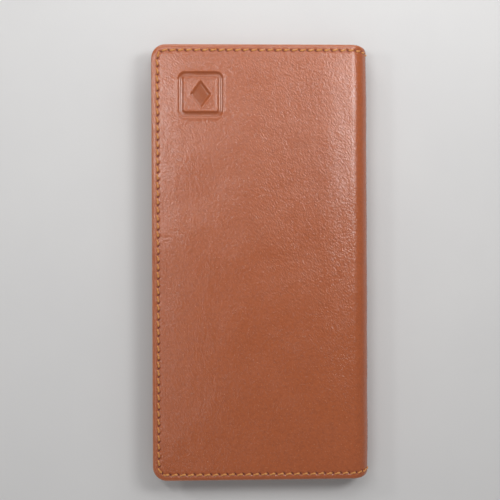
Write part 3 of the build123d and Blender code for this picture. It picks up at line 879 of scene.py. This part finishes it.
def tan_leather(name, shade, grain_depth, gloss):
    """Smooth tan cow leather with a fine pebbled grain and soft streaks, with painted shade in its needle
    holes, grooves and fine creases, pale specks that are partly painted glints, and pale edges that are
    partly a painted highlight.

    shade dims the colours, grain_depth is in mm and gloss is the least roughness.
    """

    def tone(*rgb):
        return srgb(*(shade * c for c in rgb))

    m = Shader(name, Specular_IOR_Level=0.85)
    place = m.coords(True)
    long_way = m.coords(True, (1, 1.7, 1), radians(35))
    tan_tone = m.mix(m.noise(place, 26, 4), tone(164, 81, 36), tone(174, 88, 42))
    mottled = m.mix(m.span(m.noise(long_way, 1.1, 4, 0.7), 0.3, 0.75), tan_tone, tone(142, 67, 29))
    mottled = m.mix(0.45, tan_tone, mottled)
    # Pale specks: partly lighter flecks of the grain, partly painted glints of its sheen.
    glint_specks = m.span(m.noise(place, 0.62, 1), 0.66, 0.74)
    speckled = m.mix(m.math("MULTIPLY", glint_specks, 0.42), mottled, tone(214, 150, 108))
    along_spine = m.coords(True, (1.6, 1, 1))
    # Dark fine lines: painted shade of fine creases in the grain.
    crease_shade_lines = m.math("ABSOLUTE", m.math("SUBTRACT", m.noise(along_spine, 3.2, 5, 0.65), 0.5))
    speckled = m.mix(m.span(crease_shade_lines, 0, 0.02, 0.35, 0), speckled, tone(122, 58, 28))
    # Painted shade: darker in the seam groove, in the creases beside openings, along the centre seam and
    # where a card row comes out from under the next.
    groove_shaded = m.mix(m.math("MULTIPLY", m.mask("groove"), 0.25), speckled, tone(138, 68, 30))
    # Painted shade in the needle holes.
    hole_shaded = m.mix(m.span(m.mask("hole"), 0.2, 0.7), groove_shaded, tone(104, 40, 22))
    pressed = m.mix(m.math("MULTIPLY", m.mask("press"), 0.5, clamp=True), hole_shaded, tone(134, 68, 32))
    # Pale edges: partly a painted highlight on the turned edge, partly rubbed wear, in patches.
    pale_edge_highlight_wear = m.math("MULTIPLY", m.mask("rim"), m.span(m.noise(place, 4, 5, 0.7), 0.35, 0.7, 0.2, 0.55))
    color = m.mix(pale_edge_highlight_wear, pressed, tone(218, 160, 128))
    pebble = m.cells(long_way, 0.56)
    fine = m.noise(place, 0.55, 3, 0.65)
    crease = m.math("ABSOLUTE", m.math("SUBTRACT", m.noise(long_way, 5.5, 5, 0.6, 0.6), 0.5))
    crease = m.span(crease, 0, 0.035)
    grain = m.math("ADD", m.math("MULTIPLY", pebble, -1.0), m.math("MULTIPLY", fine, 0.9))
    grain = m.math("ADD", grain, m.math("MULTIPLY", m.noise(place, 1.2, 1), 0.1))
    smoothed = m.math("SUBTRACT", 1.0, m.math("MULTIPLY", m.mask("press"), 0.85), clamp=True)
    grain = m.math("MULTIPLY", grain, smoothed)
    normal = m.bump(grain, grain_depth)
    normal = m.bump(crease, 0.003, normal)
    normal = m.bump(m.noise(place, 9, 3), 0.12, normal)
    patches = m.math("ADD", m.noise(long_way, 1.0, 4, 0.7), m.noise(place, 14, 2))
    rough = m.span(patches, 0.7, 1.3, gloss, gloss + 0.08)
    rough = m.math("ADD", rough, m.span(m.mask("hole"), 0.03, 0.3, 0, 0.65))
    return m.finish(color, rough, normal)


def seam_thread():
    """Waxed golden-tan polyester thread."""
    m = Shader("seam_thread", Specular_IOR_Level=0.4, Sheen_Weight=0.2, Sheen_Roughness=0.4)
    place = m.coords(True, (1, 0.16, 1))
    fibres = m.noise(place, 0.35, 4, 0.7)
    color = m.mix(m.span(fibres, 0.3, 0.7), srgb(176, 104, 46), srgb(226, 162, 92))
    return m.finish(color, m.span(fibres, 0.2, 0.8, 0.45, 0.7), m.bump(fibres, 0.05))


def woven_cloth(name, dark, light, thread_size, diagonal=0.0):
    """Plain woven cloth: crossing threads, with slubs and a faint sheen, and painted shade where the weave
    lies low between the threads.
    """
    m = Shader(name, Specular_IOR_Level=0.25, Sheen_Weight=0.35, Sheen_Roughness=0.45)
    place = m.coords(True, turn=diagonal)
    slub = m.noise(m.coords(True, (6.5, 1, 1)), 0.8, 3)
    across = m.wave(place, thread_size, "X", 0.3)
    along = m.wave(place, thread_size, "Y", 0.3)
    weave = m.math("MULTIPLY", across, along)
    over = m.math("MAXIMUM", m.math("SUBTRACT", across, along), m.math("SUBTRACT", along, across))
    height = m.math("ADD", weave, m.math("MULTIPLY", over, 0.5))
    # Painted shade: darker where the weave lies low between the threads, lighter where it rises.
    tone = m.mix(m.span(height, 0.1, 0.9), dark, light)
    color = m.mix(m.span(slub, 0.35, 0.75, 0, 0.35), tone, dark)
    return m.finish(color, m.span(slub, 0.2, 0.8, 0.7, 0.9), m.bump(height, 0.09))


def aged_brass(name):
    """Polished brass with fine scratches and darker, duller patches."""
    m = Shader(name, Metallic=1.0)
    place = m.coords(False)
    scratches = m.noise(m.coords(False, (1, 16, 1), radians(35)), 0.12, 3)
    patches = m.noise(place, 1.6, 4)
    color = m.mix(m.span(patches, 0.35, 0.7), srgb(214, 176, 104), srgb(158, 118, 62))
    rough = m.math("ADD", m.span(patches, 0.3, 0.7, 0.2, 0.38), m.math("MULTIPLY", scratches, 0.12))
    return m.finish(color, rough, m.bump(scratches, 0.006))


def fibre_board():
    """Grey-brown bonded fibre board."""
    m = Shader("fibre_board", Specular_IOR_Level=0.2)
    place = m.coords(True)
    fibres = m.noise(m.coords(True, (1, 5, 1)), 0.5, 5, 0.7)
    color = m.mix(m.span(fibres, 0.3, 0.7), srgb(150, 126, 98), srgb(190, 166, 134))
    return m.finish(color, m.span(m.noise(place, 3, 2), 0.3, 0.7, 0.75, 0.95), m.bump(fibres, 0.05))


def pale_floor():
    """Pale grey matt floor with faint clouds."""
    m = Shader("pale_floor", Specular_IOR_Level=0.25)
    place = m.coords(False)
    tone = m.mix(m.noise(place, 60, 3), srgb(206, 205, 205), srgb(213, 212, 211))
    rough = m.span(m.noise(place, 8, 3), 0.2, 0.8, 0.6, 0.75)
    return m.finish(tone, rough, m.bump(m.noise(place, 1.2, 3), 0.02))


# Pieces


def paint(obj, material):
    """obj with the given material in its only slot."""
    obj.data.materials.clear()
    obj.data.materials.append(material)
    return obj


def bend(obj, front):
    """obj with its placement baked into its mesh, the same for either half."""
    if front:
        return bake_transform(obj)
    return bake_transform(obj)


def dress_covers(leather, golden):
    """Outer leather and edge seam, each in two pieces that meet at the middle of the spine."""
    for front, half in ((True, "front"), (False, "back")):
        shell = bend(paint(leather_shell(f"outer_leather_{half}", front), leather), front)
        seam = bend(paint(edge_stitches(f"seam_{half}", front), golden), front)
        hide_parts(f"{half}_cover")
        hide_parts(f"{half}_edge_stitches")
    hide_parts("spine_leather")
    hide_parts("spine_stitches")


def dress_linings(fabric, board):
    """Stiffeners, and the linings that lie on them and go on round the inside of the spine."""
    for front, half in ((True, "front"), (False, "back")):
        node = f"{half}_stiffener"
        stiff = paint(stiffener(f"fibre_board_{half}", node, front), board)
        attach(stiff, f"{half}_half")
        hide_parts(node)
        lining, flat = cover_lining(f"lining_{half}", front)
        bend(paint(lining, fabric), front)
        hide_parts(f"{half}_lining")
    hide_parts("spine_lining", "spine_reinforcement")


def dress_card_half(leather, golden, fabric):
    """Bill panel, card rows and their linings on the front half."""
    panel = paint(bill_panel("bill_panel_leather_front", True), leather)
    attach(panel, "front_half")
    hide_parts("front_bill_panel")
    for row in range(1, ROWS + 1):
        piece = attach(paint(card_row(row), leather), "front_half")
        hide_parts(f"card_row_{row}")
    for row in range(1, ROWS):
        piece, flat = card_lining(row)
        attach(paint(piece, fabric), "front_half")
        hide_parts(f"card_pocket_lining_{row}")
    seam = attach(paint(centre_seam(), golden), "front_half")
    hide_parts("card_centre_stitches")


def dress_coin_half(leather, golden, fabric):
    """Bill panel and coin pocket on the back half."""
    panel = paint(bill_panel("bill_panel_leather_back", False), leather)
    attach(panel, "back_half")
    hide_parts("back_bill_panel")
    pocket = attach(paint(coin_pocket(), leather), "back_half")
    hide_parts("coin_pocket_front")
    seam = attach(paint(zip_seam(), golden), "back_half")
    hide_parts("coin_pocket_stitches")
    bag, flat = coin_bag()
    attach(paint(bag, fabric), "back_half")
    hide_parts("coin_pocket_bag")


def soften(node, width):
    """Round the edges of a metal CAD node a little, as cast and tumbled parts are."""
    weld = node.modifiers.new("weld", "WELD")
    weld.merge_threshold = 0.002 * MM
    soft = node.modifiers.new("soft_edge", "BEVEL")
    soft.width, soft.segments, soft.angle_limit = width * MM, 2, radians(35)


def dress_zip(tape, brass):
    """Tapes and teeth of the zip; its end stops, slider and pull are the CAD's own."""
    for side, half in ((-1, "open_side"), (1, "spine_side")):
        piece, flat = zip_tape(f"woven_tape_{half}", side)
        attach(paint(piece, tape), "back_half")
        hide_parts(f"zip_tape_{half}")
        node = f"zip_teeth_{half}"
        teeth = paint(zip_teeth(f"moulded_teeth_{half}", node, side), brass)
        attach(teeth, "back_half")
        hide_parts(node)
    for name, width in (("zip_end_stops", 0.3), ("zip_slider", 0.22), ("zip_pull", 0.16)):
        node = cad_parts[name]
        paint(node, brass)
        soften(node, width)


golden = seam_thread()
fabric = woven_cloth("brown_lining", srgb(50, 31, 20), srgb(92, 60, 40), 0.34)
inner = tan_leather("inner_leather", 0.93, 0.05, 0.36)
dress_covers(tan_leather("outer_leather", 1.0, 0.078, 0.172), golden)
dress_linings(fabric, fibre_board())
dress_card_half(inner, golden, fabric)
dress_coin_half(inner, golden, fabric)
tape = woven_cloth("brown_tape", srgb(66, 40, 24), srgb(112, 72, 46), 0.5, radians(45))
dress_zip(tape, aged_brass("aged_brass"))

# Floor, lights and camera


def stage_floor():
    """A wide flat floor under the wallet."""
    half = 1500
    points = [[-half, -half, 0], [half, -half, 0], [half, half, 0], [-half, half, 0]]
    floor = new_object("floor", points, [[0, 1, 2, 3]])
    paint(floor, pale_floor())


def soft_light(name, place, aim, size, power):
    """A white rectangular light; place, aim and size in metres, power in watts."""
    data = bpy.data.lights.new(name, "AREA")
    data.shape, data.size, data.size_y = "RECTANGLE", *size
    data.energy = power
    lamp = bpy.data.objects.new(name, data)
    lamp.location = place
    lamp.visible_camera = False
    lamp.rotation_euler = (Vector(aim) - Vector(place)).to_track_quat("-Z", "Y").to_euler()
    bpy.context.scene.collection.objects.link(lamp)


def light_scene():
    """Lights at the head end, the spine's side and the open side, and a pale surround."""
    soft_light("head", (0.03, 0.23, 0.13), (0.01, 0.06, 0.01), (0.3, 0.08), 0.21)
    soft_light("head_strip", (0.05, 0.25, 0.5), (0.02, 0.06, 0), (0.22, 0.07), 0.22)
    soft_light("spine_strip", (0.26, 0.15, 0.5), (0.04, 0.05, 0), (0.12, 0.19), 0.96)
    soft_light("open_side_strip", (-0.17, 0.125, 0.5), (-0.04, 0.035, 0), (0.045, 0.2), 0.48)
    soft_light("open_side_low", (-0.17, -0.12, 0.5), (-0.04, -0.05, 0), (0.045, 0.16), 0.09)
    soft_light("open_side_glint", (-0.3, 0.12, 0.3), (-0.03, 0.07, 0.016), (0.07, 0.05), 0.2)
    world = bpy.data.worlds.new("surround")
    bpy.context.scene.world = world
    world.use_nodes = True
    background = world.node_tree.nodes["Background"]
    background.inputs["Color"].default_value = (1, 1, 1, 1)
    background.inputs["Strength"].default_value = 0.295


def place_camera():
    """The camera looks down from just to the left of the vertical."""
    distance, lean, roll, seen_width, sensor = 600, radians(3), radians(0.25), 217.5, 36
    middle_x = (OPEN_X + SPINE_X + SPINE_R) / 2
    aim = Vector((middle_x - 5.1, 5.3, TOP_Z))
    data = bpy.data.cameras.new("camera")
    data.sensor_width, data.lens = sensor, sensor * distance / seen_width
    data.clip_start = 0.01
    camera = bpy.data.objects.new("camera", data)
    away = Vector((-sin(lean), 0, cos(lean)))
    camera.matrix_world = Matrix.Translation((aim + away * distance) * MM) @ (
        Matrix.Rotation(-lean, 4, "Y") @ Matrix.Rotation(-roll, 4, "Z")
    )
    bpy.context.scene.collection.objects.link(camera)
    bpy.context.scene.camera = camera


stage_floor()
light_scene()
place_camera()
bpy.context.scene.view_settings.view_transform = "Standard"
